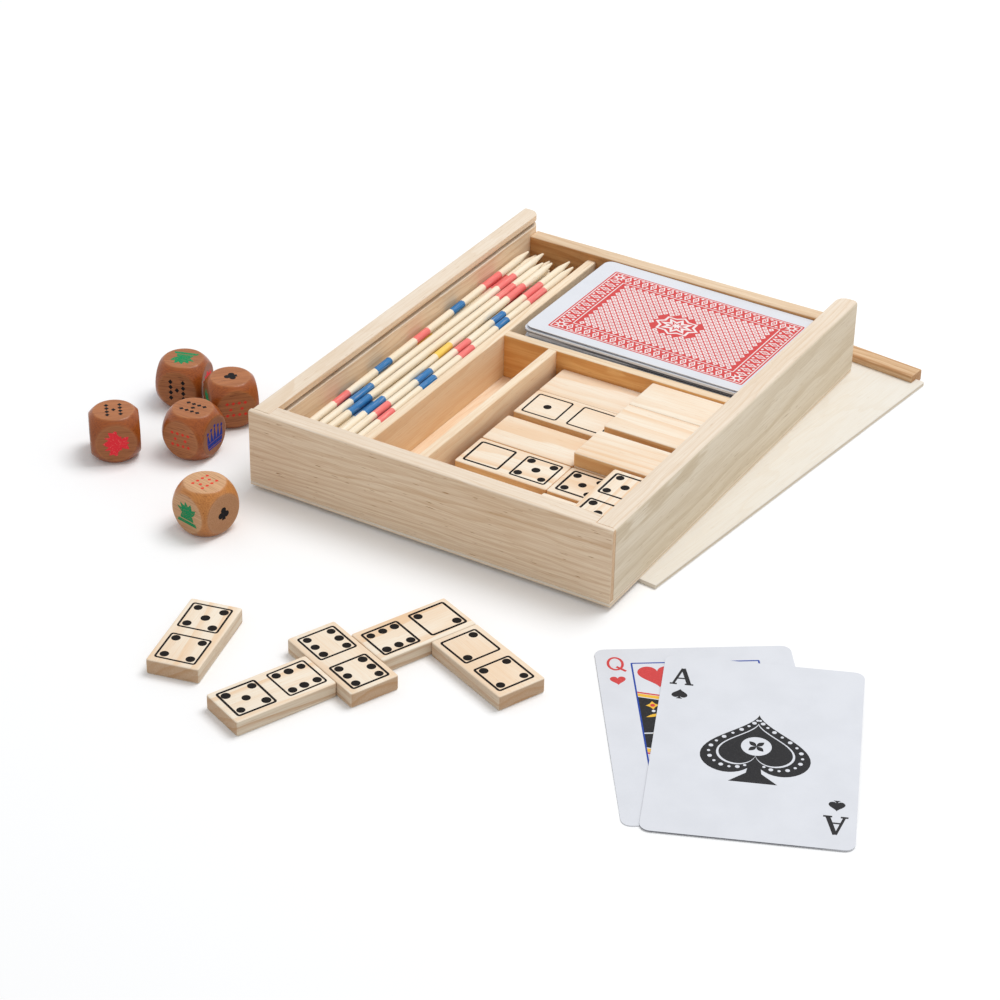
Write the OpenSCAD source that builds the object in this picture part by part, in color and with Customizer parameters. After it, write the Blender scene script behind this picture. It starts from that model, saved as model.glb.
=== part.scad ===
// Games compendium: a sliding-lid wooden box with dominoes, dice, playing cards and pick-up sticks.
// Millimetres. The origin is on the table under the middle of the box, +X right, +Y back, +Z up.
// The lid lies upside down on the table and the box stands on it, five dominoes, five dice and
// two cards are laid out around it, and everything else is in its compartment.

/* [Box] */
// Thickness of the front and side walls
wall_t = 7.3; // [6:0.1:9]
// Thickness of the back wall
back_t = 6; // [4:0.1:8]
// How far the back wall stands in from the back ends of the side walls
back_inset = 1.2; // [0:0.1:3]
// Thickness of the plywood bottom, glued under the walls
floor_t = 1.8; // [1.2:0.1:3]
// Inside height from the plywood bottom to the underside of the lid
inner_h = 22.9; // [22:0.1:34]
// Height of the rail over each lid groove
rail_h = 2.6; // [2:0.1:5]
// Depth of the lid groove in each side wall
groove_depth = 3; // [2:0.1:4]
// Thickness of the front wall's lip over the ends of the side walls
lip_t = 2; // [1:0.1:4]
// Radius of the eased edges along the tops of the walls
edge_r = 1.4; // [0.4:0.1:2]
// Radius of the lead-in where the lid enters, at the back end of each side wall
lead_in_r = 3.6; // [1:0.1:5]
// Height of the dividers above the plywood bottom
divider_h = 17.1; // [12:0.1:21]
// Thickness of the long divider beside the sticks
long_divider_t = 3.6; // [2:0.1:6]
// Thickness of the divider in front of the deck
card_divider_t = 3.8; // [2:0.1:6]
// Thickness of the divider between the dice and the dominoes
domino_divider_t = 3.4; // [2:0.1:6]
// Width of the stick compartment
stick_space_w = 25.2; // [20:0.1:40]

/* [Lid] */
// Thickness of the lid panel
lid_t = 1.6; // [1.2:0.1:3]
// Gap above the panel in its grooves
groove_gap = 0.1; // [0.05:0.05:0.4]
// Gap at each side of the panel in its grooves, and at its front end
lid_side_gap = 0.2; // [0.1:0.05:0.8]
// Width of the batten, front to back
batten_w = 7.2; // [5:0.1:12]
// How far the batten laps over the panel
batten_lap = 3.8; // [2:0.1:5]
// Height of the batten above the panel
batten_h = 2.8; // [1.5:0.1:4]
// Gap between each end of the batten and the side walls
batten_end_gap = 0.5; // [0.2:0.1:2]
// Radius of the batten's two long upper edges
batten_r = 0.8; // [0.2:0.1:1.2]
// Turn of the lid under the box, clockwise from above
lid_turn = 6.58; // [0:0.1:12]
// Place of the lid's front right corner, from the box's front right corner
lid_corner = [6.3, 19.3];

/* [Dominoes] */
// Length of a domino
domino_l = 35.8; // [28:0.1:45]
// Width of a domino
domino_w = 17.6; // [14:0.1:22]
// Thickness of a domino
domino_t = 5.4; // [4:0.1:7]
// Radius of a domino's corners
domino_r = 0.8; // [0.3:0.1:2]
// Free width of the compartment beside two dominoes end to end
domino_play_w = 3.2; // [1:0.1:8]
// Free depth of the compartment beyond its rows of dominoes
domino_play_d = 12.1; // [8:0.1:30]
// Least free length for the domino that lies across the front rows
turned_room = 8.1; // [1:0.1:12]
// Gap between dominoes that touch loosely
domino_gap = 0.1; // [0.05:0.05:0.5]
// Middle of the crosswise domino of the chain on the table
chain_at = [15.8, -163.5];
// Direction of the chain on the table
chain_turn = 67.2; // [0:1:180]
// Sideways slip of the chain's first domino
chain_slip = 1.5; // [0:0.1:6]
// Middle of the domino that lies by itself
lone_domino_at = [-30.1, -177.5];
// Direction of the domino that lies by itself
lone_domino_turn = -77; // [-180:1:180]

/* [Dice] */
// Width of a die across its flat faces
die_w = 17.2; // [14:0.1:20.6]
// Radius of the ball that rounds a die's corners
die_ball_r = 11.1; // [9.5:0.1:13]
// Free width of the dice compartment
die_play = 1.2; // [0.6:0.1:4]

/* [Cards] */
// Length of a card
card_l = 88; // [80:0.5:106]
// Width of a card
card_w = 62; // [50:0.5:69]
// Thickness of one card
card_t = 0.3; // [0.25:0.01:0.4]
// Radius of a card's corners
card_r = 3.2; // [2:0.1:5]
// Cards in the deck's lower packet
lower_cards = 33; // [10:1:40]
// Cards in the deck's upper packet
upper_cards = 18; // [5:1:25]
// Thickness that one card takes up in a packet, with the air between
card_pitch = 0.362; // [0.3:0.002:0.37]
// Gap between the long divider and the deck
deck_left_gap = 5.4; // [2:0.1:8]
// Least gap between the deck and the right wall
deck_right_gap = 0.6; // [0.2:0.1:8]
// Gap between the deck and the back wall
deck_back_gap = 0.3; // [0.1:0.1:2]
// Gap between the deck's lower packet and the divider in front of it
deck_front_gap = 0.2; // [0.1:0.1:8]
// How far the lower packet has slipped to the left and to the front
lower_slip = 1.1; // [0:0.1:1.8]
// Middle of the card on top of the table pair
ace_at = [142.4, -131.3];
// Turn of the card on top of the table pair
ace_turn = 22.9; // [-90:0.1:90]
// Middle of the card underneath
queen_at = [126.6, -131];
// Turn of the card underneath
queen_turn = 34.5; // [-90:0.1:90]

/* [Sticks] */
// Length of a stick
stick_l = 157; // [130:1:190]
// Diameter of a stick
stick_d = 2.8; // [2.2:0.1:3.3]
// Length of the cone at each end of a stick
stick_tip_l = 8; // [4:0.5:12]
// Diameter of a stick's blunt tips
stick_tip_d = 0.9; // [0.4:0.1:2]
// Free length of the stick compartment
stick_play_l = 10.5; // [10.5:0.5:30]
// Gap between the layers of sticks
stick_gap = 0.06; // [0.04:0.01:0.2]

/* [Hidden] */
$fn = 64;

// Compartments: each is as wide and deep as what it holds, plus its free room.
dice_space_w = die_w + die_play;
domino_space_w = 2 * domino_l + domino_play_w;
right_space_w = max(
    dice_space_w + domino_divider_t + domino_space_w,
    deck_left_gap + card_l + deck_right_gap
);
card_space_d = deck_back_gap + card_w + lower_slip + deck_front_gap;
domino_rows = 5;
// The slack in front of each row, from the front row to the back row.
row_slack = [0, 1.6, 0.5, 3.2, 0.1];
row_back_gap = 0.1;
// The turned domino covers the two front rows, so behind it only three rows stand that high.
rows_behind_turned = 3;
domino_space_d = max(
    domino_rows * domino_w + domino_play_d,
    rows_behind_turned * domino_w + row_slack[3] + row_slack[4] + row_back_gap + domino_l + turned_room
);
inner_d = max(stick_l + stick_play_l, domino_space_d + card_divider_t + card_space_d);

// Box outline.
box_w = 2 * wall_t + stick_space_w + long_divider_t + right_space_w;
box_d = wall_t + inner_d + back_t + back_inset;
groove_h = lid_t + groove_gap;
box_h = floor_t + inner_h + groove_h + rail_h;
inner_w = box_w - 2 * wall_t;

// Heights, from the table up. The box stands on the upturned lid.
box_z = lid_t;
floor_z = box_z + floor_t;
groove_z = floor_z + inner_h;
top_z = box_z + box_h;

// Places in the box, from the middle of its outline.
left_x = -box_w / 2;
right_x = box_w / 2;
front_y = -box_d / 2;
back_y = box_d / 2;
inner_left_x = left_x + wall_t;
inner_right_x = right_x - wall_t;
inner_front_y = front_y + wall_t;
inner_back_y = inner_front_y + inner_d;
long_divider_x = inner_left_x + stick_space_w;
dice_x = long_divider_x + long_divider_t;
card_divider_y = inner_back_y - card_space_d - card_divider_t;
domino_divider_x = dice_x + dice_space_w;

// The back wall leaves room for the batten to pass over it under the panel.
batten_pass_gap = 0.1;
back_wall_h = inner_h - batten_h - batten_pass_gap;

// Lid.
lid_w = inner_w + 2 * (groove_depth - lid_side_gap);
batten_overhang = batten_w - batten_lap;
lid_l = box_d - wall_t - lid_side_gap - batten_overhang;
batten_l = inner_w - 2 * batten_end_gap;

// Dominoes in the box. The front edge of a row is measured from the divider behind the rows.
function rows_behind(row) = domino_rows - 1 - row;
function slack_behind(row) = row >= domino_rows - 1 ? 0 : row_slack[row + 1] + slack_behind(row + 1);
function row_y(row) =
    card_divider_y - row_back_gap - slack_behind(row) - rows_behind(row) * domino_w - domino_w / 2;
function column_x(column) =
    inner_right_x - domino_gap - domino_l / 2 - (1 - column) * (domino_l + domino_gap);
function layer_z(layer) = floor_z + (layer - 1) * domino_t;
// The turned domino shares out its free room between its front and its back.
turned_side_gap = 1.6;
turned_front_share = 0.79;
turned_space_d = row_y(2) - domino_w / 2 - inner_front_y;
turned_y = inner_front_y + turned_front_share * (turned_space_d - domino_l) + domino_l / 2;

// Dominoes on the table: the chain's step from one middle to the next.
chain_step = (domino_l + domino_w) / 2 + domino_gap;
along = [cos(chain_turn), sin(chain_turn)];
across = [sin(chain_turn), -cos(chain_turn)];
crosswise_turn = chain_turn - 90;
chain_far_at = chain_at + chain_step * along;
chain_near_at = chain_at - chain_step * along + chain_slip * across;
chain_end_at = chain_far_at + chain_step * across + (domino_l - domino_w) / 2 * along;

// Dice on the table: [x, y, turn].
dice_at = [
    [-122.7, -97, 41],
    [-124, -54.6, 18],
    [-102.4, -56.4, 48],
    [-100.5, -81.2, 3],
    [-68.5, -118.4, -11]
];

// Deck.
deck_x = dice_x + deck_left_gap + card_l / 2;
deck_y = inner_back_y - deck_back_gap - card_w / 2;
lower_h = lower_cards * card_pitch;
upper_h = upper_cards * card_pitch;

// Sticks: full layers lie crossed, each turned a little the other way from the one below, and
// six sticks lie on top as the last layer. Each has a share of the free width to its left, at the
// front and at the back, no less than the stick before it, and a share of the free length in front.
full_layers = 5;
layer_sticks = 7;
layer_pitch = stick_d + stick_gap;
stick_play_w = stick_space_w - layer_sticks * stick_d;
stick_side_gap = 0.12;
layer_skew = 0.3 * stick_play_w;
top_sticks = [
    [0.3, 0.05, 0.59],
    [0.42, 0.39, 0.76],
    [0.51, 0.51, 0.05],
    [0.82, 0.52, 0.24],
    [0.83, 0.8, 0.72],
    [0.97, 0.86, 0.38]
];
function spread(low, high, share) = low + (high - low) * share;
stick_low_x = inner_left_x + stick_side_gap + stick_d / 2;
stick_high_x = long_divider_x - stick_side_gap - stick_d / 2;
function layer_x(layer, i, end) =
    let (lean = (layer % 2 == 0 ? 1 : -1) * end * layer_skew / 2)
    spread(stick_low_x + layer_skew / 2, stick_high_x - layer_skew / 2, i / (layer_sticks - 1)) + lean;
top_play_w = stick_high_x - stick_low_x - (len(top_sticks) - 1) * stick_d;
function top_x(i, share) = stick_low_x + i * stick_d + top_play_w * share;
function end_room(layer, i) = ((3 * i + 5 * layer) % layer_sticks) / (layer_sticks - 1);
// Each stick as [x at the front, x at the back, share of the free length at the front, layer].
STICKS = [
    for (layer = [0 : full_layers - 1], i = [0 : layer_sticks - 1])
        [layer_x(layer, i, -1), layer_x(layer, i, 1), end_room(layer, i), layer],
    for (i = [0 : len(top_sticks) - 1], s = [top_sticks[i]])
        [top_x(i, s[0]), top_x(i, s[1]), s[2], full_layers]
];
stick_count = len(STICKS);
// Which pattern of rings a stick has: the top layer shows its patterns, the rest take turns.
top_patterns = ["five", "two", "two", "three", "five", "five"];
lower_patterns = [
    "two", "three", "two", "three", "two", "blue", "three",
    "two", "three", "two", "three", "five", "two", "three",
    "two", "three", "blue", "two", "three", "two", "three",
    "master", "two", "three", "blue", "two", "three", "two",
    "three", "two", "five", "three", "two", "three", "blue"
];
patterns = concat(lower_patterns, top_patterns);

// A rectangle with rounded corners, centred.
module rounded_rect(length, width, r) {
    square([length - 2 * r, width], center = true);
    square([length, width - 2 * r], center = true);
    for (x = [-1, 1], y = [-1, 1])
        translate([x * (length / 2 - r), y * (width / 2 - r)])
            circle(r);
}

// A board's cross-section, from [0, 0] up to [thickness, height], with its two top edges rounded.
module board_section(thickness, height, left_r, right_r) {
    difference() {
        square([thickness, height]);
        translate([0, height - left_r])
            square(left_r);
        translate([thickness - right_r, height - right_r])
            square(right_r);
    }
    translate([left_r, height - left_r])
        circle(left_r);
    translate([thickness - right_r, height - right_r])
        circle(right_r);
}

// A board that stands along X, from x to x + length.
module board_x(x, y, z, length, thickness, height, front_r, back_r) {
    translate([x, y, z])
        rotate([90, 0, 90])
            linear_extrude(length)
                board_section(thickness, height, front_r, back_r);
}

// A board that stands along Y, from y to y + length.
module board_y(x, y, z, length, thickness, height, left_r, right_r) {
    translate([x, y + length, z])
        rotate([90, 0, 0])
            linear_extrude(length)
                board_section(thickness, height, left_r, right_r);
}

module floor_panel() {
    color("wheat")
        translate([left_x, front_y, box_z])
            cube([box_w, box_d, floor_t]);
}

// The front wall is rabbeted at both ends, so that a thin lip covers the side walls' end grain.
module front_wall() {
    rabbet_clear = 1;
    color("burlywood")
        difference() {
            board_x(left_x, front_y, floor_z, box_w, wall_t, top_z - floor_z, edge_r / 2, edge_r / 2);
            for (x = [left_x - rabbet_clear, inner_right_x])
                translate([x, front_y + lip_t, floor_z - rabbet_clear])
                    cube([wall_t + rabbet_clear, wall_t, box_h + rabbet_clear]);
        }
}

module back_wall() {
    color("tan")
        board_x(inner_left_x, inner_back_y, floor_z, inner_w, back_t, back_wall_h, edge_r / 2, edge_r / 2);
}

// The left side wall: a groove for the lid near its top, an eased outer edge and a rounded lead-in.
module side_wall() {
    groove_clear = 1;
    wall_l = box_d - lip_t;
    difference() {
        intersection() {
            board_y(left_x, front_y + lip_t, floor_z, wall_l, wall_t, top_z - floor_z, edge_r, edge_r / 3);
            translate([left_x, front_y + lip_t, floor_z])
                linear_extrude(box_h)
                    side_wall_plan(wall_l);
        }
        translate([inner_left_x - groove_depth, inner_front_y, groove_z])
            cube([groove_depth + groove_clear, box_d, groove_h]);
    }
}

// Outline of a side wall from above.
module side_wall_plan(wall_l) {
    square([wall_t, wall_l - lead_in_r]);
    square([wall_t - lead_in_r, wall_l]);
    translate([wall_t - lead_in_r, wall_l - lead_in_r])
        circle(lead_in_r);
}

module left_wall() {
    color("burlywood")
        side_wall();
}

module right_wall() {
    color("burlywood")
        mirror([1, 0, 0])
            side_wall();
}

divider_r = 0.5;

module long_divider() {
    color("tan")
        board_y(long_divider_x, inner_front_y, floor_z, inner_d, long_divider_t, divider_h, divider_r, divider_r);
}

module card_divider() {
    color("tan")
        board_x(dice_x, card_divider_y, floor_z, right_space_w, card_divider_t, divider_h, divider_r, divider_r);
}

module domino_divider() {
    length = card_divider_y - inner_front_y;
    color("tan")
        board_y(domino_divider_x, inner_front_y, floor_z, length, domino_divider_t, divider_h, divider_r, divider_r);
}

// Carries a piece of the lid from the lid's own frame, whose origin is the panel's front right
// corner with the panel upside down, to where the lid lies under the box.
module place_lid() {
    translate([right_x + lid_corner[0], front_y + lid_corner[1], 0])
        rotate([0, 0, -lid_turn])
            children();
}

module lid_panel() {
    color("blanchedalmond")
        place_lid()
            translate([-lid_w, 0, 0])
                cube([lid_w, lid_l, lid_t]);
}

// The batten laps over the end of the panel and stands proud of it, as a finger grip and a stop.
module lid_batten() {
    color("wheat")
        place_lid()
            translate([-(lid_w + batten_l) / 2, lid_l - batten_lap, 0])
                difference() {
                    board_x(0, 0, 0, batten_l, batten_w, lid_t + batten_h, batten_r, batten_r);
                    translate([-1, -1, -1])
                        cube([batten_l + 2, batten_lap + 1, lid_t + 1]);
                }
}

// One domino, lying flat, centred on its underside.
module domino() {
    linear_extrude(domino_t)
        rounded_rect(domino_l, domino_w, domino_r);
}

module domino_on_table(at, turn) {
    color("moccasin")
        translate([at[0], at[1], 0])
            rotate([0, 0, turn])
                domino();
}

module domino_in_box(layer, column, row) {
    color("moccasin")
        translate([column_x(column), row_y(row), layer_z(layer)])
            domino();
}

// Face-down dominoes of one layer, at [column, row].
module dominoes_in_layer(layer, cells) {
    for (cell = cells)
        domino_in_box(layer, cell[0], cell[1]);
}

module domino_5_4() domino_on_table(lone_domino_at, lone_domino_turn);
module domino_5_6() domino_on_table(chain_near_at, chain_turn);
module domino_6_6() domino_on_table(chain_at, crosswise_turn);
module domino_6_2() domino_on_table(chain_far_at, chain_turn);
module domino_2_4() domino_on_table(chain_end_at, crosswise_turn);
module domino_1_0() domino_in_box(2, 0, 3);
module domino_0_5() domino_in_box(2, 0, 1);
module domino_5_2() domino_in_box(2, 1, 1);

// The turned domino lies across the two front rows, beside the right wall.
module domino_5_3() {
    color("moccasin")
        translate([inner_right_x - turned_side_gap - domino_w / 2, turned_y, layer_z(3)])
            rotate([0, 0, 90])
                domino();
}

module dominoes_layer_1() {
    dominoes_in_layer(1, [for (column = [0, 1], row = [0 : domino_rows - 1]) [column, row]]);
}

module dominoes_layer_2() dominoes_in_layer(2, [[0, 4], [0, 2], [1, 0], [1, 2], [1, 3], [1, 4]]);
module dominoes_layer_3() dominoes_in_layer(3, [[1, 2], [1, 3], [1, 4]]);

// A die is a cube whose corners are turned off by a ball.
module die(number) {
    place = dice_at[number - 1];
    color("sienna")
        translate([place[0], place[1], die_w / 2])
            rotate([0, 0, place[2]])
                intersection() {
                    cube(die_w, center = true);
                    sphere(die_ball_r);
                }
}

module die_1() die(1);
module die_2() die(2);
module die_3() die(3);
module die_4() die(4);
module die_5() die(5);

// A squared-up packet of cards, centred on its underside.
module card_packet(height) {
    linear_extrude(height)
        rounded_rect(card_l, card_w, card_r);
}

module card_deck_lower() {
    color("white")
        translate([deck_x - lower_slip, deck_y - lower_slip, floor_z])
            card_packet(lower_h);
}

module card_deck_upper() {
    color("white")
        translate([deck_x, deck_y, floor_z + lower_h])
            card_packet(upper_h);
}

module card_top() {
    color("firebrick")
        translate([deck_x, deck_y, floor_z + lower_h + upper_h])
            card_packet(card_t);
}

module card_on_table(at, turn, z) {
    color("white")
        translate([at[0], at[1], z])
            rotate([0, 0, turn + 90])
                card_packet(card_t);
}

module card_queen_of_hearts() card_on_table(queen_at, queen_turn, 0);
module card_ace_of_spades() card_on_table(ace_at, ace_turn, card_t);

// One stick along +Y, from the tip at the origin.
module stick() {
    body_l = stick_l - 2 * stick_tip_l;
    rotate([-90, 0, 0]) {
        cylinder(h = stick_tip_l, d1 = stick_tip_d, d2 = stick_d);
        translate([0, 0, stick_tip_l])
            cylinder(h = body_l, d = stick_d);
        translate([0, 0, stick_tip_l + body_l])
            cylinder(h = stick_tip_l, d1 = stick_d, d2 = stick_tip_d);
    }
}

// Lays a stick between its places at the front and at the back of the compartment.
module place_stick(s) {
    front_x = s[0];
    back_x = s[1];
    room = inner_d - stick_l;
    end_margin = 0.5;
    y = inner_front_y + spread(end_margin, room - end_margin, s[2]);
    z = floor_z + stick_gap + stick_d / 2 + s[3] * layer_pitch;
    translate([front_x, y, z])
        rotate([0, 0, -atan2(back_x - front_x, stick_l)])
            stick();
}

// Every stick with one pattern of rings.
module sticks_with(pattern) {
    color("beige")
        for (i = [0 : stick_count - 1])
            if (patterns[i] == pattern)
                place_stick(STICKS[i]);
}

module stick_master() sticks_with("master");
module sticks_five_rings() sticks_with("five");
module sticks_three_rings() sticks_with("three");
module sticks_blue_ends() sticks_with("blue");
module sticks_two_rings() sticks_with("two");

floor_panel();
front_wall();
back_wall();
left_wall();
right_wall();
long_divider();
card_divider();
domino_divider();
lid_panel();
lid_batten();
die_1();
die_2();
die_3();
die_4();
die_5();
domino_5_4();
domino_5_6();
domino_6_6();
domino_6_2();
domino_2_4();
domino_1_0();
domino_0_5();
domino_5_2();
domino_5_3();
dominoes_layer_1();
dominoes_layer_2();
dominoes_layer_3();
card_deck_lower();
card_deck_upper();
card_top();
card_ace_of_spades();
card_queen_of_hearts();
stick_master();
sticks_five_rings();
sticks_three_rings();
sticks_blue_ends();
sticks_two_rings();
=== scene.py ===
"""Looks of a games compendium: a pine box with its lid, printed dominoes, wooden dice, cards and sticks.

Forms are built in millimetres in the row frame, and become metres when a piece is finished. Each wooden
piece carries a "grain" attribute: where its points lie in the log, in millimetres, with x along the trunk
and y and z from the heart, so that one recipe gives lines on a face and arcs on an end.
"""
import math
import random

import bmesh
import bpy
from mathutils import Matrix, Vector


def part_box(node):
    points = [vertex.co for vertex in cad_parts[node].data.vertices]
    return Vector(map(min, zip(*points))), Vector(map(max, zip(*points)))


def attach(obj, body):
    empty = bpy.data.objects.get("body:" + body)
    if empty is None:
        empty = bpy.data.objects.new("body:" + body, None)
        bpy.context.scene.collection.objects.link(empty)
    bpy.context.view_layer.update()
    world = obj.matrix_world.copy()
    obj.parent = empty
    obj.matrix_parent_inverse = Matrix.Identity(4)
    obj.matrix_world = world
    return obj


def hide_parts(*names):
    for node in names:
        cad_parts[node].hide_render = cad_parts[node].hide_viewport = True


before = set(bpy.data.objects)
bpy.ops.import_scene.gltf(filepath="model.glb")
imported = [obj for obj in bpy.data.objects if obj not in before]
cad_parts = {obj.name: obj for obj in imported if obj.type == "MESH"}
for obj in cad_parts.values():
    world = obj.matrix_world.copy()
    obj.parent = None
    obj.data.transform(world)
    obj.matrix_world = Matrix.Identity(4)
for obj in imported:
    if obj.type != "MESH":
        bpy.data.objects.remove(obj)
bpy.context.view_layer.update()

MM = 0.001
rng = random.Random(5)


def either_way(reach):
    return rng.uniform(-reach, reach)


# ---------------------------------------------------------------- shader nodes

def srgb(red, green, blue):
    """A colour written as it shows on a screen, 0 to 255, as the linear colour that a shader takes."""
    def linear(value):
        value /= 255
        return value / 12.92 if value <= 0.04045 else ((value + 0.055) / 1.055) ** 2.4
    return (linear(red), linear(green), linear(blue), 1)


class Value:
    """A socket that can be reckoned with, so that a pattern is written as a formula."""

    def __init__(self, tree, socket):
        self.tree, self.socket = tree, socket

    def math(self, operation, *others):
        return self.tree.math(operation, self, *others)

    def __add__(self, other):
        return self.math("ADD", other)

    def __sub__(self, other):
        return self.math("SUBTRACT", other)

    def __mul__(self, other):
        return self.math("MULTIPLY", other)

    def __truediv__(self, other):
        return self.math("DIVIDE", other)


class Tree:
    """A tree of shader nodes in the making."""

    def __init__(self, tree):
        self.nodes, self.links = tree.nodes, tree.links

    def feed(self, socket, value):
        if isinstance(value, Value):
            self.links.new(value.socket, socket)
        else:
            socket.default_value = value

    def add(self, kind, inputs=None, **settings):
        """Adds a node with those settings, and feeds its inputs by their names or numbers."""
        node = self.nodes.new("ShaderNode" + kind)
        for name, value in settings.items():
            setattr(node, name, value)
        for socket, value in (inputs or {}).items():
            self.feed(node.inputs[socket], value)
        return node

    def value(self, output, kind, inputs=None, **settings):
        """Adds a node and returns what one of its outputs gives, as the methods below do."""
        return Value(self, self.add(kind, inputs, **settings).outputs[output])

    def math(self, operation, *values):
        return self.value(0, "Math", dict(enumerate(values)), operation=operation)

    def attribute(self, name, output="Fac"):
        return self.value(output, "Attribute", attribute_name=name)

    def split(self, vector):
        return [Value(self, output) for output in self.add("SeparateXYZ", {0: vector}).outputs]

    def noise(self, vector, stretch=None, scale=1.0, detail=2.0, roughness=0.5):
        """Noise, finer along the axes where stretch is larger."""
        if stretch:
            vector = self.value(0, "VectorMath", {0: vector, 1: stretch}, operation="MULTIPLY")
        return self.value("Fac", "TexNoise", {"Vector": vector, "Scale": scale, "Detail": detail,
                                              "Roughness": roughness})

    def remap(self, value, low, high, to_low, to_high):
        """Carries low..high over to to_low..to_high, with soft ends and nothing beyond them."""
        return self.value("Result", "MapRange", {"Value": value, "From Min": low, "From Max": high,
                                                 "To Min": to_low, "To Max": to_high},
                          interpolation_type="SMOOTHSTEP")

    def mix(self, share, first, second, blend="MIX"):
        return self.value(2, "Mix", {0: share, 6: first, 7: second}, data_type="RGBA", blend_type=blend)

    def seen(self):
        """1 for what the camera, a gloss or a glass sees, and 0 for light on its way."""
        rays = self.add("LightPath").outputs
        camera, gloss, glass = [Value(self, rays[f"Is {kind} Ray"])
                                for kind in ("Camera", "Glossy", "Transmission")]
        return camera.math("MAXIMUM", gloss).math("MAXIMUM", glass)


class Shader(Tree):
    """A material in the making, which knows where its points lie in the log."""

    def __init__(self, name):
        self.material = bpy.data.materials.new(name)
        self.material.use_nodes = True
        super().__init__(self.material.node_tree)
        self.grain = self.attribute("grain", "Vector")

    def finish(self, colour, roughness, height=None, depth_mm=0, **sockets):
        """Feeds the surface. height stands out by depth_mm, and sockets are named with _ for a blank."""
        surface = self.nodes["Principled BSDF"].inputs
        sockets.update(Base_Color=colour, Roughness=roughness)
        if height:
            sockets["Normal"] = self.value("Normal", "Bump", {"Height": height, "Distance": depth_mm * MM})
        for name, value in sockets.items():
            self.feed(surface[name.replace("_", " ")], value)
        return self.material


# ---------------------------------------------------------------- materials

TAPER = 0.02              # how far each millimetre along the trunk moves the rings out


def tinted(colour, *shares):
    return tuple(part * share for part, share in zip(colour, shares + (1,)))


def wood_pattern(shader, early, late, ring, wander, contrast, fibre=0.3, flecks=0.4, blotch=0.25):
    """Colour, roughness and height of sawn softwood: rings round the heart, fibres along the trunk."""
    early, late, grain = srgb(*early), srgb(*late), shader.grain
    x, y, z = shader.split(grain)
    drift = shader.noise(grain, (0.012, 0.05, 0.05))
    ripple = shader.noise(grain, (0.05, 0.3, 0.3), detail=1)
    away = (y * y + z * z).math("SQRT")
    rings = (away + (drift - 0.5) * wander + (ripple - 0.5) * (0.25 * wander) + x * TAPER) / ring
    phase = rings.math("FRACT")
    year = shader.noise(rings.math("FLOOR"), (0.37, 0.37, 0.37), scale=3, detail=0)
    late_wood = shader.remap(phase, 0.35, 0.9, 0, 1) * shader.remap(phase, 0.93, 1.0, 1, 0)
    late_wood = late_wood * shader.remap(year, 0.3, 0.65, 0.35, 1)
    fibres = shader.noise(grain, (0.06, 2.2, 2.2), detail=3, roughness=0.65)
    pores = shader.noise(grain, (0.14, 1.6, 1.6), scale=1.3, detail=1)
    patches = shader.noise(grain, (0.01, 0.04, 0.04))
    colour = early
    for share, tone in ((late_wood * contrast, late),
                        (shader.remap(fibres, 0.35, 0.75, 0, fibre), late),
                        (shader.remap(pores, 0.68, 0.76, 0, 1) * flecks, tinted(late, 0.72, 0.62, 0.5)),
                        (shader.remap(patches, 0.4, 0.75, 0, blotch), late),
                        (shader.attribute("end_grain") * 0.55, tinted(late, 0.9, 0.82, 0.7)),
                        (shader.attribute("eased") * 0.25, early)):
        colour = shader.mix(share, colour, tone)
    return colour, shader.remap(fibres, 0.2, 0.8, 0.52, 0.72), late_wood * 0.35 + fibres * 0.65


def wood(name, early, late, ring=2.1, wander=8, contrast=0.6, fibre=0.5, bump=0.05, **look):
    shader = Shader(name)
    colour, roughness, height = wood_pattern(shader, early, late, ring, wander, contrast, fibre, **look)
    return shader.finish(colour, roughness, height, bump, Specular_IOR_Level=0.35)


def ink(name, colour, base, dry):
    """Ink printed on wood: it takes well in places, and where it is dry it lets the wood through."""
    shader = Shader(name)
    blots = shader.noise(shader.grain, (0.9, 1.4, 1.4), scale=1.6, detail=3, roughness=0.7)
    tone = shader.mix(shader.remap(blots, dry, dry + 0.12, 0, 0.55), srgb(*colour), srgb(*base))
    return shader.finish(tone, shader.remap(blots, 0.3, 0.7, 0.55, 0.8), blots, 0.02,
                         Specular_IOR_Level=0.12)


def card_stock(name, colour, shade):
    """Coated card: very slightly mottled, with a linen feel under the varnish."""
    shader = Shader(name)
    mottle = shader.noise(shader.grain, (0.08, 0.08, 0.08), detail=3)
    tooth = shader.noise(shader.grain, (2.5, 2.5, 2.5))
    tone = shader.mix(shader.remap(mottle, 0.35, 0.7, 0, 1), srgb(*colour), srgb(*shade))
    return shader.finish(tone, shader.remap(tooth, 0.3, 0.7, 0.3, 0.42), tooth, 0.006)


def card_edge(name, colour, gap_shadow):
    """The cut edges of cards: white, with painted shadow: dark lines where the cards above one another part.
    """
    shader = Shader(name)
    # Painted shadow in the gaps between the cards.
    gap_shadow_mask = shader.noise(shader.grain, (0.01, 0.01, 1.0))
    tone = shader.mix(shader.remap(gap_shadow_mask, 0.51, 0.57, 0, 0.9), srgb(*colour), srgb(*gap_shadow))
    return shader.finish(tone, 0.5, gap_shadow_mask, 0.05)


def print_on_card(name, *colour):
    """Ink on coated card: nearly even, with the card's tooth in it."""
    shader = Shader(name)
    colour = srgb(*colour)
    lighter = tuple(min(1, 1.25 * part + 0.03) for part in colour)
    tooth = shader.noise(shader.grain, (2.2, 2.2, 2.2))
    tone = shader.mix(shader.remap(tooth, 0.45, 0.75, 0, 0.5), colour, lighter)
    return shader.finish(tone, shader.remap(tooth, 0.3, 0.7, 0.4, 0.55), tooth, 0.006,
                         Specular_IOR_Level=0.2)


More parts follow.
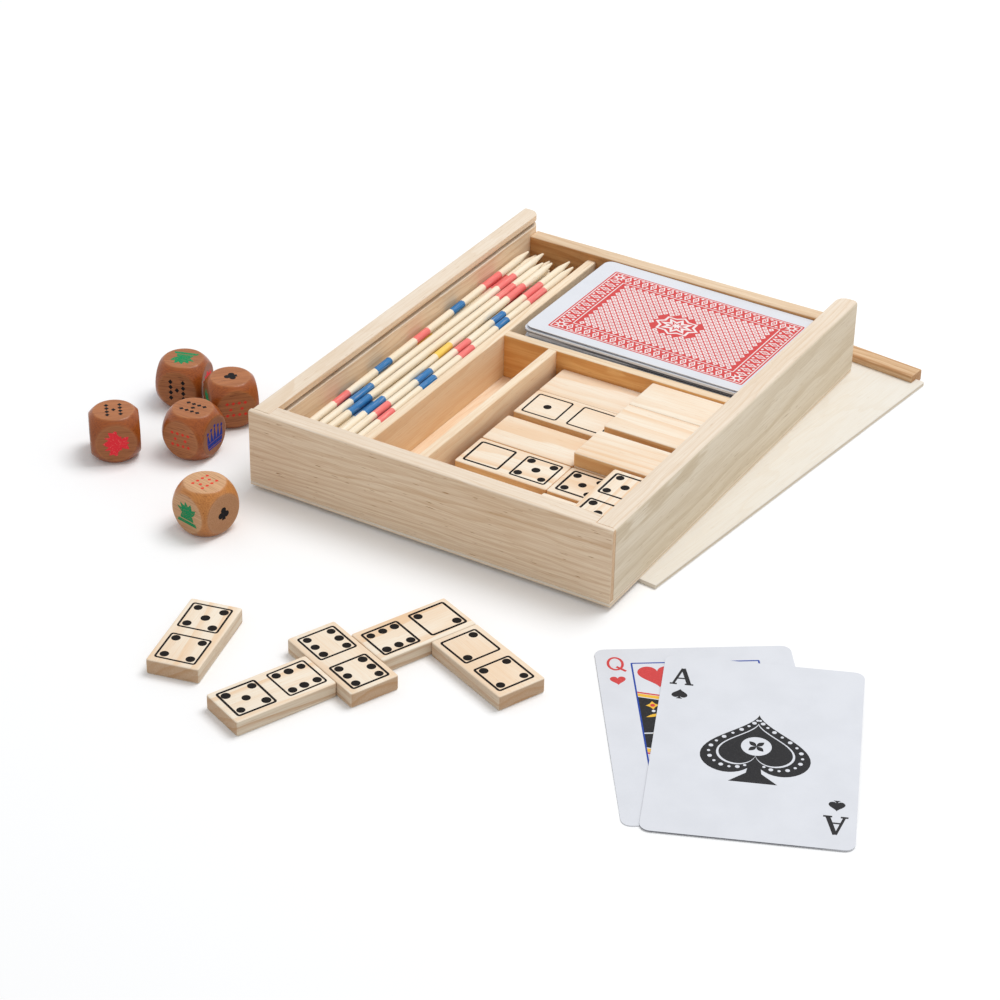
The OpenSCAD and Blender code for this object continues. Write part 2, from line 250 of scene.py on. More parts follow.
def die_wood(name, early, late, rim_highlight_colour):
    """Stained hardwood: oiled, darker where the corners are turned and paler on the flats, with a painted
    highlight along the edges of the flats.
    """
    shader = Shader(name)
    colour, _, height = wood_pattern(shader, early, late, ring=0.55, wander=2, contrast=0.22, fibre=0.6,
                                     flecks=0.8, blotch=0.3)
    flat = shader.attribute("flat")
    turned = shader.mix(1.0, colour, srgb(236, 200, 142), "MULTIPLY")
    # A painted highlight along the edges of the flats.
    colour = shader.mix(shader.attribute("rim_highlight") * 0.12, shader.mix(flat, turned, colour), srgb(*rim_highlight_colour))
    return shader.finish(colour, shader.remap(flat, 0, 1, 0.28, 0.5), height, 0.025,
                         Specular_IOR_Level=0.3, Coat_Weight=0.1, Coat_Roughness=0.25)


STICK_TONES = (252, 241, 220), (236, 212, 172)


def stick_paint(name, *bands):
    """A stick's wood with its painted rings: bands are (middle, width, colour), in mm from its back tip."""
    shader = Shader(name)
    colour, roughness, height = wood_pattern(shader, *STICK_TONES, ring=1.6, wander=1.5, contrast=0.25,
                                             fibre=0.4, flecks=0.3, blotch=0.2)
    brush = shader.noise(shader.grain, (0.15, 2.5, 2.5))
    along = shader.split(shader.grain)[0] + (brush - 0.5) * 1.2
    for middle, width, paint in bands:
        off = (along - middle).math("ABSOLUTE")
        cover = shader.remap(off, width / 2 - 0.15, width / 2 + 0.15, 1, 0)
        colour = shader.mix(cover * shader.remap(brush, 0.5, 0.75, 1, 0.72), colour, paint)
    return shader.finish(colour, roughness, height, 0.03)


def stick_spiral(name, paint, pitch):
    """The master stick: a painted spiral all the way along."""
    shader = Shader(name)
    colour, roughness, height = wood_pattern(shader, *STICK_TONES, ring=1.6, wander=1.5, contrast=0.25)
    x, y, z = shader.split(shader.grain)
    turns = (x / pitch + shader.math("ARCTAN2", z, y) / math.tau).math("FRACT")
    colour = shader.mix(shader.remap(turns, 0.48, 0.52, 1, 0), colour, paint)
    return shader.finish(colour, roughness, height, 0.03)


def floor_material(glow):
    """A pale floor: paler to the camera than to the light that it throws back, and it keeps shadows."""
    shader = Shader("floor")
    seen = shader.seen()
    speckle = shader.noise(shader.grain, scale=0.05, detail=3)
    paper = shader.mix(speckle, srgb(228, 228, 229), srgb(232, 232, 232))
    return shader.finish(shader.mix(seen, paper, (0.985, 0.992, 1, 1)), 0.9, Specular_IOR_Level=0,
                         Emission_Color=shader.mix(seen, (0, 0, 0, 1), (1, 1, 1, 1)), Emission_Strength=glow)


# ---------------------------------------------------------------- forms

SMOOTH_BELOW, SHARP_ABOVE = math.radians(35), math.radians(32)
END_GRAIN_ABOVE = 0.8     # how squarely a face is cut across the trunk


def moved(x, y, z=0):
    return Matrix.Translation((x, y, z))


def turned(degrees, axis="Z"):
    return Matrix.Rotation(math.radians(degrees), 4, axis)


def linked(name, data):
    obj = bpy.data.objects.new(name, data)
    bpy.context.scene.collection.objects.link(obj)
    return obj


class Form:
    """One piece in the making: closed solids in millimetres in the row frame, each with its own grain."""

    def __init__(self):
        self.points, self.faces, self.grain = [], [], []
        self.material, self.end_grain, self.eased = [], [], []
        self.marks = {}

    def add(self, solid, place=Matrix(), log=Matrix(), material=0, marks=None):
        """Adds a solid made in its own frame. place carries it to the row frame, and log to the tree.
        material is a number, or what picks one for a face. marks are values for its points, by name."""
        first = len(self.points)
        solid.verts.index_update()
        solid.normal_update()
        eased = solid.faces.layers.int.get("eased")
        trunk = (log.to_3x3().transposed() @ Vector((1, 0, 0))).normalized()
        self.points += [place @ v.co for v in solid.verts]
        self.grain += [log @ v.co for v in solid.verts]
        for face in solid.faces:
            self.faces.append([first + v.index for v in face.verts])
            self.material.append(material(face) if callable(material) else material)
            self.end_grain.append(float(abs(face.normal.dot(trunk)) > END_GRAIN_ABOVE))
            self.eased.append(float(face[eased]) if eased else 0.0)
        for name, values in (marks or {}).items():
            held = self.marks.setdefault(name, [])
            held += [0.0] * (first - len(held)) + list(values)
        solid.free()

    def piece(self, node, ending, body, slot, materials):
        """Makes the object, in metres, which rides on its body and stands for its CAD node."""
        name = f"{node}_{ending}"
        mesh = bpy.data.meshes.new(name)
        mesh.from_pydata([point * MM for point in self.points], [], self.faces)
        for material in materials:
            mesh.materials.append(material)
        mesh.polygons.foreach_set("material_index", self.material)
        grain = mesh.attributes.new("grain", "FLOAT_VECTOR", "POINT")
        grain.data.foreach_set("vector", [part for point in self.grain for part in point])
        for label, values in (("end_grain", self.end_grain), ("eased", self.eased)):
            mesh.attributes.new(label, "FLOAT", "FACE").data.foreach_set("value", values)
        for label, values in self.marks.items():
            values += [0.0] * (len(self.points) - len(values))
            mesh.attributes.new(label, "FLOAT", "POINT").data.foreach_set("value", values)
        mesh.validate()
        mesh.shade_smooth()
        mesh.set_sharp_from_angle(angle=SMOOTH_BELOW)
        obj = linked(name, mesh)
        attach(obj, body)
        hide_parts(node)


LOG_LENGTH = 900


def log_at(turn, middle, heart, start=None):
    """Carries row-frame points into the tree: the trunk runs at turn degrees from +X, and the heart lies
    at (across, up) from the middle of the piece. Without a start, the piece is cut anywhere along the log."""
    start = rng.uniform(0, LOG_LENGTH) if start is None else start
    return moved(start, -heart[0], -heart[1]) @ turned(-turn) @ Matrix.Translation(-Vector(middle))


def solids_of(node):
    """The closed solids of a CAD node, in millimetres, each welded and with its flat faces whole."""
    whole = bmesh.new()
    whole.from_mesh(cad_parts[node].data)
    bmesh.ops.scale(whole, vec=(1 / MM,) * 3, verts=whole.verts)
    bmesh.ops.remove_doubles(whole, verts=whole.verts, dist=0.002)
    whole.verts.index_update()
    whole.faces.index_update()
    reached, solids = set(), []
    for start in whole.verts:
        if start in reached:
            continue
        island, front = {start}, {start}
        while front:
            front = {edge.other_vert(vert) for vert in front for edge in vert.link_edges} - island
            island |= front
        reached |= island
        solid = bmesh.new()
        twin = {vert: solid.verts.new(vert.co) for vert in sorted(island, key=lambda v: v.index)}
        for face in sorted({face for vert in island for face in vert.link_faces}, key=lambda f: f.index):
            solid.faces.new([twin[vert] for vert in face.verts])
        bmesh.ops.recalc_face_normals(solid, faces=solid.faces)
        bmesh.ops.dissolve_limit(solid, angle_limit=math.radians(0.5), verts=solid.verts, edges=solid.edges)
        solids.append(solid)
    whole.free()
    return solids


def ease(solid, width, steps=2):
    """Rounds a solid's sharp edges and marks the new faces, where a board shows its wear."""
    layer = solid.faces.layers.int.new("eased")
    sharp = [edge for edge in solid.edges if edge.calc_face_angle(0) > SHARP_ABOVE]
    made = bmesh.ops.bevel(solid, geom=sharp, offset=width, segments=steps, profile=0.5, affect="EDGES",
                           clamp_overlap=True)
    for face in made["faces"]:
        face[layer] = 1
    return solid


def extent(points):
    """(low corner, high corner) of some points."""
    return [Vector([pick(point[k] for point in points) for k in range(3)]) for pick in (min, max)]


def middle_of(solid):
    low, high = extent([v.co for v in solid.verts])
    return (low + high) / 2


def box_of(node):
    """(low corner, high corner) of a CAD node, in millimetres."""
    low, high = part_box(node)
    return low / MM, high / MM


def top_of(node):
    """The middle of a CAD node's box, raised to its top."""
    low, high = box_of(node)
    return Vector((low.x + high.x, low.y + high.y, 2 * high.z)) / 2


def skin(solid, rows):
    """Puts faces between each row of points and the next."""
    for first, second in zip(rows, rows[1:]):
        for i in range(len(first)):
            solid.faces.new((first[i - 1], first[i], second[i], second[i - 1]))


def prism(outline, low, high, hole=None):
    """An upright solid with that outline. A hole, with as many points as the outline, makes it a ring."""
    solid = bmesh.new()
    rows = [[solid.verts.new((x, y, z)) for x, y in line]
            for z in (low, high) for line in (outline, hole) if line]
    if hole:
        outer, inner, outer_top, inner_top = rows
        skin(solid, [outer, outer_top, inner_top, inner, outer])
    else:
        skin(solid, rows)
        solid.faces.new(rows[1])
        solid.faces.new(rows[0][::-1])
    bmesh.ops.recalc_face_normals(solid, faces=solid.faces)
    return solid


def loft(rings):
    """A closed solid through rings that have as many points each."""
    solid = bmesh.new()
    rows = [[solid.verts.new(point) for point in ring] for ring in rings]
    skin(solid, rows)
    solid.faces.new(rows[0][::-1])
    solid.faces.new(rows[-1])
    bmesh.ops.remove_doubles(solid, verts=solid.verts, dist=0.0005)
    bmesh.ops.recalc_face_normals(solid, faces=solid.faces)
    return solid


# ---------------------------------------------------------------- outlines

def polar(middle, radius, turn):
    return middle[0] + radius * math.cos(turn), middle[1] + radius * math.sin(turn)


def arc(middle, radius, start, end, steps):
    """Points along an arc, in degrees."""
    return [polar(middle, radius, math.radians(start + (end - start) * i / steps)) for i in range(steps + 1)]


def star(middle, radii, count):
    """Points at equal turns round a middle, which take the radii by turns."""
    return [polar(middle, radii[i % len(radii)], math.tau * i / count) for i in range(count)]


def disc(middle, radius, steps=20):
    return star(middle, (radius,), steps)


def oval(middle, wide, tall, steps=24):
    return [(middle[0] + wide * x, middle[1] + tall * y) for x, y in disc((0, 0), 0.5, steps)]


def rounded(length, width, radius, steps=4, middle=(0, 0)):
    """A rectangle with rounded corners."""
    points = []
    for sx, sy, start in ((1, 1, 0), (-1, 1, 90), (-1, -1, 180), (1, -1, 270)):
        corner = (middle[0] + sx * (length / 2 - radius), middle[1] + sy * (width / 2 - radius))
        points += arc(corner, radius, start, start + 90, steps)
    return points


def lozenge(middle, width, height):
    x, y = middle
    return [(x + width / 2, y), (x, y + height / 2), (x - width / 2, y), (x, y - height / 2)]


def leaf(base, tip, width, steps=8):
    """A pointed leaf from base to tip."""
    base, tip = Vector(base), Vector(tip)
    run = tip - base
    side = Vector((-run.y, run.x)).normalized() * width / 2
    out = [(1, i) for i in range(steps + 1)] + [(-1, i) for i in range(steps - 1, 0, -1)]
    return [tuple(base + run * (i / steps) + side * (way * math.sin(math.pi * i / steps))) for way, i in out]


def bar(start, end, width):
    """A straight stroke between two points."""
    start, end = Vector(start), Vector(end)
    side = Vector((start.y - end.y, end.x - start.x)).normalized() * width / 2
    return [tuple(p) for p in (start + side, start - side, end - side, end + side)]


def heart_shape(middle, width, steps=72):
    """A heart, point down."""
    points = []
    for i in range(steps):
        t = math.tau * i / steps
        x = 16 * math.sin(t) ** 3
        y = 13 * math.cos(t) - 5 * math.cos(2 * t) - 2 * math.cos(3 * t) - math.cos(4 * t)
        points.append((middle[0] + x * width / 32, middle[1] + (y + 2) * width / 32))
    return points


def heart_on_end(middle, width, steps=72):
    """A heart, point up: a spade without its stem."""
    return [(2 * middle[0] - x, 2 * middle[1] - y) for x, y in heart_shape(middle, width, steps)]


PRINT_DEPTH = 0.08
PRINT_RISE = 0.02


def stamp(form, place, log, outline, material, hole=None, rise=PRINT_RISE):
    """Prints an outline on a surface that lies at z = 0 in its own frame."""
    form.add(prism(outline, -PRINT_DEPTH, rise, hole), place, log @ place, material)


# ---------------------------------------------------------------- the box and its lid

PINE = wood("pine_frame", (237, 223, 205), (216, 188, 155), wander=9, contrast=0.5, fibre=0.4)
PINE_FRONT = wood("pine_front", (244, 222, 194), (206, 166, 122), ring=1.5, wander=7, contrast=0.55,
                  flecks=1.0, blotch=0.35)
PINE_SIDE = wood("pine_side", (233, 220, 198), (198, 177, 143), ring=3.4, wander=7, fibre=0.4)
PINE_INNER = wood("pine_inner", (244, 221, 192), (216, 176, 130), wander=9, contrast=0.55, fibre=0.4)
# Painted shade: a darker, more orange copy of the pine for the back wall's inner face, which looks to the
# front.
PINE_PAINTED_SHADE = wood("pine_painted_shade", (214, 164, 110), (176, 114, 58))
PINE_BACK = wood("pine_back", (234, 211, 182), (206, 170, 130), contrast=0.5)
# Painted shade with warm bounce light: an orange copy of the pine for the card divider's face that looks to
# the front.
PINE_PAINTED_WARM_SHADE = wood("pine_painted_warm_shade", (242, 190, 122), (212, 142, 70))
DIVIDER = wood("pine_divider", (248, 231, 206), (226, 190, 146), ring=2.6, wander=6, contrast=0.45)
# Painted warm bounce light: a more orange copy of the divider's pine for the dividers' sides.
DIVIDER_PAINTED_BOUNCE = wood("divider_side_painted_bounce", (249, 227, 196), (230, 189, 142), ring=2.6, wander=6, contrast=0.45)
BATTEN = wood("pine_batten", (226, 195, 156), (180, 128, 78), ring=1.3, wander=3, contrast=0.8, fibre=0.6)
PLY_FACE = wood("ply_face", (234, 230, 221), (225, 214, 196), ring=5.0, wander=40, contrast=0.3, fibre=0.35,
                flecks=0.2, bump=0.03)
PLY_FLOOR = wood("ply_floor", (252, 233, 208), (234, 196, 152), ring=4.2, wander=30, contrast=0.5, fibre=0.45,
                 bump=0.03)
PLY_CORE = wood("ply_core", (240, 232, 218), (220, 204, 178), ring=1.5, wander=3, contrast=0.4, fibre=0.3)

ALONG_X, ALONG_Y = 0, 90
WALL_EDGE, THIN_EDGE = 0.3, 0.25    # how far the edges of the walls, and of the thinner boards, are rounded


def by_facing(side, top=None, front=None, right=None):
    """A board's materials, and what picks one for a face by where the face looks. Some boards use it for
    painted shade on the faces that look to the front (-y), and the dividers for painted warm bounce light on
    their sides.
    """
    def pick(face):
        if face.normal.z > 0.5:
            return 1
        if face.normal.y < -0.5:
            return 2
        return 3 if face.normal.x > 0.5 else 0
    return [side, top or side, front or side, right or side], pick


def board(node, slot, looks, turn, heart, edge):
    """A solid board of the box: the CAD board with worn edges, cut from its own place in a log."""
    materials, pick = looks
    form = Form()
    for solid in solids_of(node):
        log = log_at(turn, middle_of(solid), heart)
        form.add(ease(solid, edge), log=log, material=pick)
    form.piece(node, "board", "box", slot, materials)


INNER_FRONT_Y = -83.7
GROOVE_LOW, GROOVE_HIGH, GROOVE_DEPTH = 26.3, 28.0, 3.0
OUTER_R, INNER_R, LEAD_IN_R = 1.4, 0.47, 3.6
NIP = 0.2                 # what is worn off the edges of the groove
BACK_SHRINK = 0.985       # how much smaller the wall's back end is, where its edges are worn
LEVEL = 0.97              # faces that look less squarely along an axis count as worn


def wall_section(inner, floor, low, high):
    """Points (across, z) round a side wall: across runs from its outer face to its inner one."""
    nip = NIP if inner - floor > NIP else 0
    lips = [(inner, GROOVE_LOW - nip), (inner - nip, GROOVE_LOW), (floor, GROOVE_LOW), (floor, GROOVE_HIGH),
            (inner - nip, GROOVE_HIGH), (inner, GROOVE_HIGH + nip)]
    return ([(0, low), (inner, low)] + lips + arc((inner - INNER_R, high - INNER_R), INNER_R, 0, 90, 4)
            + arc((OUTER_R, high - OUTER_R), OUTER_R, 90, 180, 8))


def side_wall(node, heart, looks):
    """A side wall: its section runs back from the front lip, gets its groove and ends in the lead-in."""
    materials, pick = looks
    low, high = box_of(node)
    thick = high.x - low.x
    groove_floor = thick - GROOVE_DEPTH
    stations = [(low.y, thick, thick), (INNER_FRONT_Y - NIP, thick, thick),
                (INNER_FRONT_Y, thick, groove_floor)]
    for turn in range(0, 90, 10):
        y = high.y - LEAD_IN_R * (1 - math.sin(math.radians(turn)))
        inner = thick - LEAD_IN_R * (1 - math.cos(math.radians(turn)))
        stations.append((y, inner, min(inner, groove_floor)))
    rings = [[(across, y, z) for across, z in wall_section(inner, floor, low.z, high.z)]
             for y, inner, floor in stations]
    end = thick - LEAD_IN_R
    middle = Vector((end / 2, (low.z + high.z) / 2))
    last = [middle.lerp(Vector(point), BACK_SHRINK) for point in wall_section(end, end, low.z, high.z)]
    rings.append([(across, high.y, z) for across, z in last])
    outer, inward = (low.x, 1) if low.x < 0 else (high.x, -1)
    solid = loft([[(outer + inward * across, y, z) for across, y, z in ring] for ring in rings])
    worn = solid.faces.layers.int.new("eased")
    for face in solid.faces:
        face[worn] = int(max(abs(part) for part in face.normal) < LEVEL)
    form = Form()
    form.add(solid, log=log_at(ALONG_Y, middle_of(solid), heart), material=pick)
    form.piece(node, "board", "box", "pine_frame", materials)


def make_walls():
    board("front_wall", "pine_frame", by_facing(PINE_FRONT, top=PINE), ALONG_X, (-46, 30), WALL_EDGE)
    # The back wall's inner face, which looks to the front, takes the pine with painted shade.
    board("back_wall", "pine_frame", by_facing(PINE, top=PINE_BACK, front=PINE_PAINTED_SHADE), ALONG_X, (-30, -12),
          WALL_EDGE)
    side_wall("left_wall", (14, -60), by_facing(PINE_SIDE, top=PINE, right=PINE_INNER))
    side_wall("right_wall", (38, 16), by_facing(PINE_INNER, top=PINE, right=PINE_SIDE))
    # The long and domino dividers take painted warm bounce light on their sides.
    pale = by_facing(DIVIDER_PAINTED_BOUNCE, top=DIVIDER)
    board("long_divider", "pine_divider", pale, ALONG_Y, (30, 10), THIN_EDGE)
    # The card divider's face to the front takes the pine with painted warm shade.
    board("card_divider", "pine_divider", by_facing(DIVIDER, front=PINE_PAINTED_WARM_SHADE), ALONG_X, (26, 18), THIN_EDGE)
    board("domino_divider", "pine_divider", pale, ALONG_Y, (-24, 20), THIN_EDGE)


# The sheets of plywood: (share of the thickness, how far it lies back at the edge, edge rounding, its grain).
SHEETS = [(0.3, 0, 0.15, ALONG_Y), (0.4, 0.06, 0.02, ALONG_X), (0.3, 0, 0.15, ALONG_Y)]
SHEET_R = 0.25
PEELED_HEART = -70        # how far under the plywood the heart of its log lies


def plywood(node, body, turn, corner, size, look):
    """Sheets glued crosswise: a face, a core and a face, the core a hair short of the faces."""
    form = Form()
    length, width, thick = size
    place = Matrix.Translation(corner) @ turned(turn)
    middle = place @ Vector((length / 2, width / 2, thick / 2))
    low = 0
    for share, back, edge, run in SHEETS:
        high = low + share * thick
        outline = rounded(length - 2 * back, width - 2 * back, SHEET_R, 2, (length / 2, width / 2))
        log = log_at(turn + run, middle, (either_way(60), PEELED_HEART))
        form.add(ease(prism(outline, low, high), edge, 1), place, log @ place,
                 lambda face: 0 if abs(face.normal.z) > 0.5 else 1)
        low = high
    form.piece(node, "sheet", body, "plywood", [look, PLY_CORE])


def make_floor_panel():
    low, high = box_of("floor_panel")
    plywood("floor_panel", "box", 0, low, high - low, PLY_FLOOR)


LID_TURN = -6.58


def make_lid():
    """The lid lies upside down: its panel is flat on the table and the batten is on top of it."""
    square = turned(-LID_TURN)
    low, high = extent([square @ v.co for solid in solids_of("lid_panel") for v in solid.verts])
    plywood("lid_panel", "lid", LID_TURN, turned(LID_TURN) @ low, high - low, PLY_FACE)
    batten = Form()
    for solid in solids_of("lid_batten"):
        log = log_at(LID_TURN, middle_of(solid), (9, -14), 30)
        batten.add(ease(solid, THIN_EDGE), log=log)
    batten.piece("lid_batten", "strip", "lid", "pine_frame", [BATTEN])


# ---------------------------------------------------------------- dominoes

DOMINO = wood("domino_wood", (247, 236, 218), (233, 186, 134), ring=3.0, wander=4, contrast=0.55, fibre=0.28,
              flecks=0.25, blotch=0.5)
# Painted shade: a darker copy of the domino wood for the sides of the dominoes on the table.
DOMINO_SIDE_PAINTED_SHADE = wood("domino_side_painted_shade", (228, 213, 190), (190, 146, 102), ring=3.0, wander=4, fibre=0.4)
# Painted shade with warm bounce light: an orange copy for the sides of the dominoes in the box, between their
# neighbours.
DOMINO_PAINTED_WARM_SHADE = wood("domino_side_painted_warm_shade", (240, 200, 146), (208, 148, 88), ring=3.0, wander=4, fibre=0.4)
DOMINO_INK = ink("domino_ink", (20, 16, 14), (104, 80, 58), dry=0.64)
DOMINO_EDGE = 0.55

HALF_APART = 9.0          # from a domino's middle to the middle of each frame
PRINT_FRAME = (14.0, 13.9)
FRAME_R = 1.0
FRAME_LINE = 0.74
PIP_R = 1.475
PIP_AT = (4.5, 4.4)       # along and across, from a frame's middle
FRAME_SLIP, FRAME_SKEW, PIP_SLIP = 0.3, 0.8, 0.12     # how far the print is off, in mm, degrees and mm
CORNERS = [(-1, -1), (-1, 1), (1, -1), (1, 1)]
PIPS = {
    0: [],
    1: [(0, 0)],
    2: [(-1, 1), (1, -1)],
    3: [(-1, 1), (0, 0), (1, -1)],
    -3: [(-1, -1), (0, 0), (1, 1)],      # three, printed the other way
    4: CORNERS,
    5: CORNERS + [(0, 0)],
    6: CORNERS + [(0, -1), (0, 1)],
}


def print_half(form, place, log, value):
    """One half of a domino's face: a frame and its pips, as unevenly placed as a cheap print."""
    place = place @ moved(either_way(FRAME_SLIP), either_way(FRAME_SLIP)) @ turned(either_way(FRAME_SKEW))
    length, width = PRINT_FRAME
    line = FRAME_LINE * rng.uniform(0.9, 1.15)
    inner = rounded(length - 2 * line, width - 2 * line, FRAME_R - line + 0.15)
    stamp(form, place, log, rounded(length, width, FRAME_R), 1, inner)
    for along, across in PIPS[value]:
        middle = (along * PIP_AT[0] + either_way(PIP_SLIP), across * PIP_AT[1] + either_way(PIP_SLIP))
        stamp(form, place, log, disc(middle, PIP_R * rng.uniform(0.95, 1.06)), 1)


def add_domino(form, solid, turn, values, face_up=True):
    """A domino that lies at turn degrees, with its first value at the end that its -x points to."""
    middle = middle_of(solid)
    low, high = extent([v.co for v in solid.verts])
    log = log_at(turn, middle, (either_way(26), -rng.uniform(8, 40)))
    # Faces that stand up take material 2, the copy of the wood with painted shade.
    form.add(ease(solid, DOMINO_EDGE, 3), log=log,
             material=lambda face: 0 if abs(face.normal.z) > 0.3 else 2)
    face = moved(middle.x, middle.y, high.z if face_up else low.z) @ turned(turn)
    if not face_up:
        face = face @ turned(180, "X")
    for side, value in zip((-1, 1), values):
        print_half(form, face @ moved(side * HALF_APART, 0), log, value)


# The values from the -x end, the turn of the length, and the body of a domino in the box.
SHOWN_DOMINOES = [
    (5, 4, -77, None), (5, 6, 67.2, None), (6, 6, -22.8, None), (6, 2, 67.2, None), (2, 4, -22.8, None),
    (1, 0, 0, "dominoes_middle"), (0, 5, 0, "dominoes_middle"), (5, 2, 0, "dominoes_middle"),
    (5, -3, -90, "dominoes_high"),
]
HIDDEN_LAYERS = {"dominoes_layer_1": "dominoes_low", "dominoes_layer_2": "dominoes_middle",
                 "dominoes_layer_3": "dominoes_high"}


def make_dominoes():
    # Tops and bottoms take the plain wood, and the sides a copy with painted shade.
    on_table, in_box = [DOMINO, DOMINO_INK, DOMINO_SIDE_PAINTED_SHADE], [DOMINO, DOMINO_INK, DOMINO_PAINTED_WARM_SHADE]
    rest = [(a, b) for a in range(7) for b in range(a, 7)]
    for first, second, turn, body in SHOWN_DOMINOES:
        node = f"domino_{first}_{abs(second)}"
        form = Form()
        add_domino(form, solids_of(node)[0], turn, (first, second))
        form.piece(node, "tile", body or node, "domino_wood", in_box if body else on_table)
        rest.remove(tuple(sorted((first, abs(second)))))
    rng.shuffle(rest)
    for node, body in HIDDEN_LAYERS.items():
        form = Form()
        for solid in solids_of(node):
            add_domino(form, solid, 0, rest.pop(), face_up=False)
        form.piece(node, "tiles", body, "domino_wood", in_box)


# ---------------------------------------------------------------- dice

# The third colour of each is a painted highlight along the edges of the flats.
DIE_WOOD = die_wood("die_wood", (184, 116, 68), (124, 66, 30), (212, 156, 106))
DIE_WOOD_PALE = die_wood("die_wood_pale", (218, 172, 128), (160, 104, 60), (230, 190, 152))
DIE_INKS = {
    "black": ink("die_ink_black", (24, 22, 24), (110, 70, 46), dry=0.66),
    "red": ink("die_ink_red", (226, 62, 48), (196, 112, 82), dry=0.62),
    "coral": ink("die_ink_coral", (240, 54, 66), (250, 150, 140), dry=0.56),
    "green": ink("die_ink_green", (14, 140, 88), (150, 120, 84), dry=0.52),
    "blue": ink("die_ink_blue", (22, 52, 150), (120, 90, 90), dry=0.52),
}
DIE_CELLS = 56
DIE_BALL = 11.1           # radius of the ball that turns the corners off
DIE_BLEND = 0.28
FLAT_FADE = 0.4           # the width over which a flat fades out
RIM_HIGHLIGHT_WIDTH = 0.5


def soft_min(a, b, blend):
    """The smaller of two lengths, with a smooth turn where they meet."""
    share = max(0.0, blend - abs(a - b)) / blend
    return min(a, b) - share * share * blend / 4


def die_solid(half):
    """A cube whose corners are turned off by a ball, and for each point how flat it is and how near the edge
    of a flat, where a highlight is painted.
    """
    solid = bmesh.new()
    # Equal steps in angle keep the cells even once the corners are round.
    steps = [math.tan(math.radians(45) * (2 * i / DIE_CELLS - 1)) for i in range(DIE_CELLS + 1)]
    for axis in range(3):
        for side in (-1, 1):
            rows = []
            for a in steps:
                rows.append([])
                for b in steps:
                    ray = Vector()
                    ray[axis], ray[(axis + 1) % 3], ray[(axis + 2) % 3] = side, a * side, b
                    reach = soft_min(half * ray.length, DIE_BALL, DIE_BLEND)
                    rows[-1].append(solid.verts.new(ray.normalized() * reach))
            for row, after in zip(rows, rows[1:]):
                for j in range(DIE_CELLS):
                    solid.faces.new((row[j], after[j], after[j + 1], row[j + 1]))
    bmesh.ops.remove_doubles(solid, verts=solid.verts, dist=0.001)
    bmesh.ops.recalc_face_normals(solid, faces=solid.faces)
    flat_r = math.sqrt(DIE_BALL ** 2 - half ** 2)
    flat, rim_highlight = [], []
    for vert in solid.verts:
        face_off = max(abs(part) for part in vert.co)
        out = math.sqrt(max(0.0, vert.co.length_squared - face_off ** 2)) - flat_r
        flat.append(min(1.0, max(0.0, 0.5 - out / FLAT_FADE)))
        rim_highlight.append(math.exp(-(out / RIM_HIGHLIGHT_WIDTH) ** 2))
    return solid, {"flat": flat, "rim_highlight": rim_highlight}


DOT_PITCH, DOTS_APART = 2.15, 4.6


def dots(wide, tall, inner):
    """Two columns of four small lozenges, and the ones between them."""
    spots = [(side * DOTS_APART / 2, (i - 1.5) * DOT_PITCH) for side in (-1, 1) for i in range(4)]
    return [lozenge(spot, wide, tall) for spot in spots + inner]


def club():
    stem = [(-0.85, -2.4), (0.85, -2.4), (0.3, 0.2), (-0.3, 0.2)]
    return [disc(middle, 1.15, 14) for middle in ((0, 1.15), (-1.2, -0.55), (1.2, -0.55))] + [stem]


def crown():
    """A king's crown: two bands, five points and a bead on each."""
    shapes = [[(-4.3, -3.5), (4.3, -3.5), (4.5, -1.9), (-4.5, -1.9)],
              [(-3.9, -4.3), (3.9, -4.3), (3.9, -3.8), (-3.9, -3.8)]]
    for i, tall in enumerate((1.6, 2.3, 3.1, 2.3, 1.6)):
        x = 1.9 * (i - 2)
        tip = 1.12 * x
        shapes.append([(x - 1.0, -1.7), (x + 1.0, -1.7), (tip + 0.25, tall), (tip - 0.25, tall)])
        shapes.append(disc((tip, tall + 0.75), 0.66, 10))
    return shapes


def lily():
    """A lily of leaves on a band, for the queen."""
    shapes = [leaf((0, -2.2), (0, 4.6), 3.4), [(-2.7, -1.9), (2.7, -1.9), (2.7, -0.9), (-2.7, -0.9)]]
    for side in (-1, 1):
        shapes += [leaf((side * 0.5, -1.8), (side * 4.5, 2.6), 2.8),
                   leaf((side * 0.5, -1.6), (side * 2.5, 4.0), 1.5),
                   leaf((0, -1.2), (side * 2.4, -4.4), 1.9), disc((side * 4.2, 0.2), 0.7, 10)]
    return shapes + [leaf((0, -1.2), (0, -4.6), 1.6)]


def plume():
    """A cap with feathers, for the knave."""
    brim = [(-4.6, -3.9), (4.6, -3.9), (4.0, -2.6), (-4.0, -2.6)]
    feathers = [leaf((0.9, -0.6), (x, y), wide) for x, y, wide in (
        (-4.4, 1.8, 1.7), (-3.0, 3.6, 2.0), (-0.6, 4.5, 2.1), (2.0, 4.3, 2.0), (4.2, 2.6, 1.9))]
    return [brim, arc((0, -2.3), 3.1, 0, 180, 12)] + feathers


MARKS = {
    "nine": ("black", dots(1.7, 1.95, [(0, 0)])),
    "ten": ("red", dots(1.35, 1.45, [(0, -2.0), (0, 2.0)])),
    "ace": ("black", club()),
    "king": ("blue", crown()),
    "queen": ("coral", lily()),
    "knave": ("green", plume()),
}
DEEPER, LOWER = 0.003, 0.0015    # how much deeper each of a mark's shapes starts, and how much lower it ends
